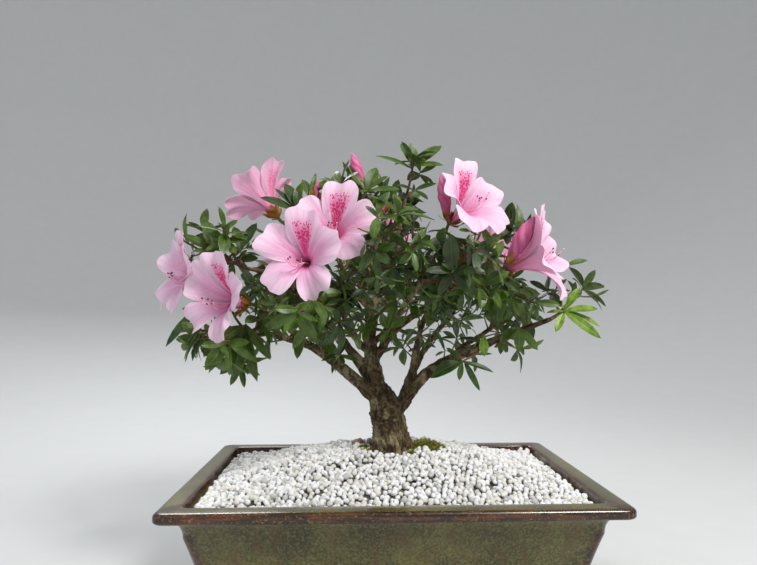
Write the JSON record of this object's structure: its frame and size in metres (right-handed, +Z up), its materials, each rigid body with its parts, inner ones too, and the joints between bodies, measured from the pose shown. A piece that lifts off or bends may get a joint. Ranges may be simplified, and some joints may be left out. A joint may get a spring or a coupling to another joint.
{
  "type": "azalea bonsai",
  "caption": "Azalea bonsai in flower: a stout forked trunk, spreading boughs, leafy masses and pink open flowers, in a glazed rectangular pot with a bed of white pebbles.",
  "frame": {"origin": "on the ground under the middle of the pot", "axes": "+X to the right along the pot's long side, +Y to the back, +Z up"},
  "size_m": [0.4011, 0.2417, 0.3955],
  "materials": {
    "glaze": "glossy grey-green glaze that breaks to rust brown on the edges",
    "soil": "damp crumbly potting soil",
    "pebbles": "dull white washed pebbles",
    "moss": "low tufted moss",
    "stone_chip": "rough brown stone",
    "bark": "rough mottled bark",
    "leaves": "leathery leaves with a soft gloss",
    "petals": "thin matt petals, pale pink with a deeper throat"
  },
  "bodies": {
    "root": {"pot": "glaze", "soil": "soil", "pebble_bed": "pebbles", "moss": "moss", "stone_chip": "stone_chip", "trunk": "bark", "bough_leader": "bark", "bough_right_low": "bark", "bough_left_low": "bark", "bough_right_up": "bark", "bough_left_up": "bark", "bough_centre_right": "bark", "bough_front_left": "bark", "bough_front_right": "bark", "bough_back_left": "bark", "bough_back_right": "bark", "bough_back": "bark", "bough_top_left": "bark", "bough_right_top": "bark", "bough_right_back": "bark", "bloom_left_outer": "petals", "bloom_left_front": "petals", "bloom_upper_left": "petals", "bloom_centre_left": "petals", "bloom_centre_upper": "petals", "bloom_top_right": "petals", "bloom_right": "petals", "bloom_back_left": "petals", "bloom_back": "petals", "bloom_back_right": "petals", "bud_top": "petals", "foliage_left_tip": "leaves", "foliage_left_low": "leaves", "foliage_upper_left": "leaves", "foliage_front_left": "leaves", "foliage_top_left": "leaves", "foliage_top": "leaves", "foliage_centre": "leaves", "foliage_front_right": "leaves", "foliage_right_upper": "leaves", "foliage_right_mid": "leaves", "foliage_right_tip": "leaves", "foliage_right_low": "leaves", "foliage_right_back": "leaves", "foliage_centre_low": "leaves", "foliage_back_left": "leaves", "foliage_back": "leaves", "foliage_back_right": "leaves", "foliage_back_top": "leaves"}
  },
  "joints": []
}
